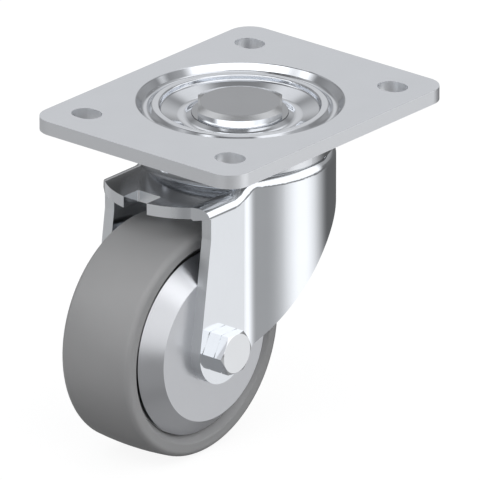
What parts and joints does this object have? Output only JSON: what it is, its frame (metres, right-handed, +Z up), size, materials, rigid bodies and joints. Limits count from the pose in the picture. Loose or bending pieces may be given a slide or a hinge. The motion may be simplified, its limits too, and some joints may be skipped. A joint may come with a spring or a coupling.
{
  "type": "swivel caster",
  "caption": "Swivel caster with a slotted top plate, a ball race swivel head, a pressed fork with a round skirt, and a solid tyre wheel on ball bearings.",
  "frame": {"origin": "centre of the top plate's upper face, on the swivel axis", "axes": "+Z up through the top plate, +X along the wheel axle towards the bolt head, wheel trailing to -Y"},
  "size_m": [0.11, 0.165, 0.14],
  "materials": {
    "plate_zinc": "bright zinc on rolled sheet",
    "ring_zinc": "bright zinc on thin sheet",
    "pin_zinc": "bright zinc on turned steel",
    "fork_zinc": "bright zinc on pressed sheet",
    "fastener_zinc": "bright zinc on cold-headed steel",
    "disc_zinc": "bright zinc on pressed disc",
    "race_steel": "hardened and ground",
    "ball_steel": "polished balls",
    "cage_steel": "thin pressed steel",
    "core_aluminium": "die-cast, turned at the seats",
    "tyre_grey": "matt grey, moulded",
    "insert_nylon": "natural plastic ring"
  },
  "bodies": {
    "plate": {"top_plate": "plate_zinc", "dust_ring": "ring_zinc", "kingpin": "pin_zinc", "spacer_sleeve": "pin_zinc", "lower_race": "race_steel", "kingpin_nut": "fastener_zinc", "kingpin_nut_insert": "insert_nylon"},
    "upper_ball_row": {"upper_balls": "ball_steel"},
    "lower_ball_row": {"lower_balls": "ball_steel"},
    "fork": {"fork": "fork_zinc", "axle_bolt": "fastener_zinc", "axle_nut": "fastener_zinc", "axle_nut_insert": "insert_nylon", "axle_tube": "race_steel", "cover_disc_right": "disc_zinc", "shim_right": "race_steel", "bearing_inner_ring_right": "race_steel", "cover_disc_left": "disc_zinc", "shim_left": "race_steel", "bearing_inner_ring_left": "race_steel"},
    "wheel": {"wheel_core": "core_aluminium", "tyre": "tyre_grey", "bearing_outer_ring_right": "race_steel", "bearing_shield_right_outside": "cage_steel", "bearing_shield_right_inside": "cage_steel", "bearing_outer_ring_left": "race_steel", "bearing_shield_left_outside": "cage_steel", "bearing_shield_left_inside": "cage_steel"},
    "ball_cage_right": {"bearing_balls_right": "ball_steel", "bearing_cage_right": "cage_steel"},
    "ball_cage_left": {"bearing_balls_left": "ball_steel", "bearing_cage_left": "cage_steel"}
  },
  "joints": [
    {"name": "swivel", "type": "hinge", "parent": "plate", "child": "fork", "pos_m": [0, 0, 0], "axis": [0, 0, 1], "continuous": true},
    {"name": "wheel_spin", "type": "hinge", "parent": "fork", "child": "wheel", "pos_m": [0, -0.045, -0.09], "axis": [1, 0, 0], "continuous": true},
    {"name": "upper_row_roll", "type": "hinge", "parent": "plate", "child": "upper_ball_row", "pos_m": [0, 0, 0], "axis": [0, 0, 1], "continuous": true},
    {"name": "lower_row_roll", "type": "hinge", "parent": "plate", "child": "lower_ball_row", "pos_m": [0, 0, 0], "axis": [0, 0, 1], "continuous": true},
    {"name": "cage_roll_right", "type": "hinge", "parent": "fork", "child": "ball_cage_right", "pos_m": [0, -0.045, -0.09], "axis": [1, 0, 0], "continuous": true},
    {"name": "cage_roll_left", "type": "hinge", "parent": "fork", "child": "ball_cage_left", "pos_m": [0, -0.045, -0.09], "axis": [1, 0, 0], "continuous": true}
  ],
  "couplings": [
    {"joint": "upper_row_roll", "follows": "swivel", "ratio": 0.5},
    {"joint": "lower_row_roll", "follows": "swivel", "ratio": 0.5},
    {"joint": "cage_roll_right", "follows": "wheel_spin", "ratio": 0.6191},
    {"joint": "cage_roll_left", "follows": "wheel_spin", "ratio": 0.6191}
  ]
}
